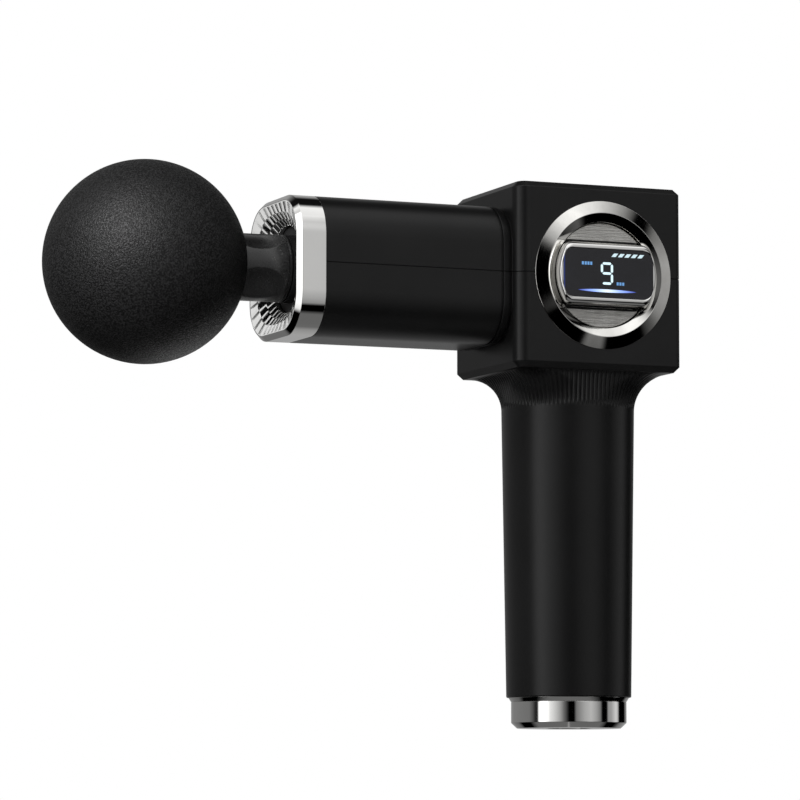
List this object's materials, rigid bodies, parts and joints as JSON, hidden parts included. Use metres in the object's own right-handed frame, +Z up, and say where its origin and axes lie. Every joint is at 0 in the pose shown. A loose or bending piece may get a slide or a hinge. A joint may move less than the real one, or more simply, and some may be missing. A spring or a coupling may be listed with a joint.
{
  "type": "massage gun",
  "caption": "L-shaped percussive massage gun with a removable ball head on a reciprocating plunger, a display knob that turns and presses, and a round handle.",
  "frame": {"origin": "centre of the base cap's flat underside, on the handle's axis", "axes": "+Z up along the handle, -X along the barrel towards the ball head, -Y out of the display knob's face"},
  "size_m": [0.2108, 0.0656, 0.1803],
  "materials": {
    "black_shell": "matte",
    "ball_foam": "matte",
    "neck_plastic": "satin",
    "inner_plastic": "matte",
    "bright_plate": "polished",
    "brushed_plate": "satin",
    "display_black": "gloss",
    "rubber_black": "matte",
    "machined_alloy": "satin",
    "black_alloy": "satin",
    "ground_steel": "satin",
    "screw_steel": "satin",
    "bush_bronze": "satin",
    "lamination": "matte",
    "copper_wire": "gloss",
    "magnet": "satin",
    "board_green": "satin",
    "cell_wrap": "gloss",
    "nickel": "satin",
    "lead_sheath": "matte"
  },
  "bodies": {
    "housing": {"guide_tube": "machined_alloy", "front_bush": "bush_bronze", "rear_bush": "bush_bronze", "front_guide_plate": "inner_plastic", "rear_guide_plate": "inner_plastic", "dust_seal": "rubber_black", "front_bezel": "bright_plate", "facet_reflector": "bright_plate", "upper_housing": "black_shell", "lower_housing": "black_shell", "handle_shell": "black_shell", "base_ring": "bright_plate", "base_cap": "bright_plate", "housing_screws": "screw_steel", "handle_screws": "screw_steel", "drive_frame": "machined_alloy", "frame_screws": "screw_steel", "motor_bearings": "ground_steel", "motor_stator": "lamination", "motor_windings": "copper_wire", "dial_bezel": "bright_plate", "dial_holder": "inner_plastic", "dial_screws": "screw_steel", "dial_board": "board_green", "press_switches": "inner_plastic", "press_springs": "ground_steel", "main_board": "board_green", "board_screws": "screw_steel", "battery_cells": "cell_wrap", "cell_holders": "inner_plastic", "nickel_strips": "nickel", "bms_board": "board_green", "charge_board": "board_green", "charge_socket": "ground_steel", "battery_leads": "lead_sheath", "motor_leads": "lead_sheath"},
    "crank": {"motor_bell": "screw_steel", "motor_magnets": "magnet", "motor_shaft": "ground_steel", "crank_disc": "ground_steel", "crank_pin": "ground_steel", "crank_roller": "ground_steel", "crank_clip": "screw_steel"},
    "plunger": {"plunger": "black_alloy", "yoke": "ground_steel", "yoke_pin": "ground_steel"},
    "head": {"ball_head": "ball_foam", "head_neck": "neck_plastic", "head_o_rings": "rubber_black"},
    "carrier": {"knob_carrier": "inner_plastic", "centring_spring": "ground_steel"},
    "knob": {"dial_disc": "brushed_plate", "display_pod": "bright_plate", "display_glass": "display_black", "display_module": "board_green", "knob_spindle": "machined_alloy", "spindle_clip": "screw_steel", "display_cable": "lead_sheath"}
  },
  "joints": [
    {"name": "crank_turn", "type": "hinge", "parent": "housing", "child": "crank", "pos_m": [0.001, 0, 0.1475], "axis": [0, -1, 0], "range_deg": [0, 180]},
    {"name": "plunger_slide", "type": "slide", "parent": "housing", "child": "plunger", "axis": [-1, 0, 0], "range_m": [0, 0.01]},
    {"name": "head_pull", "type": "slide", "parent": "plunger", "child": "head", "axis": [-1, 0, 0], "range_m": [0, 0.028]},
    {"name": "knob_press", "type": "slide", "parent": "housing", "child": "carrier", "axis": [0, 1, 0], "range_m": [0, 0.0008], "stiffness_N_per_m": 1500, "springref_m": -0.0008},
    {"name": "knob_turn", "type": "hinge", "parent": "carrier", "child": "knob", "pos_m": [0.0012, 0, 0.1475], "axis": [0, -1, 0], "range_deg": [-30, 30], "stiffness_Nm_per_rad": 0.06}
  ],
  "couplings": [
    {"joint": "crank_turn", "follows": "plunger_slide", "rad_per_m": 314.16}
  ]
}
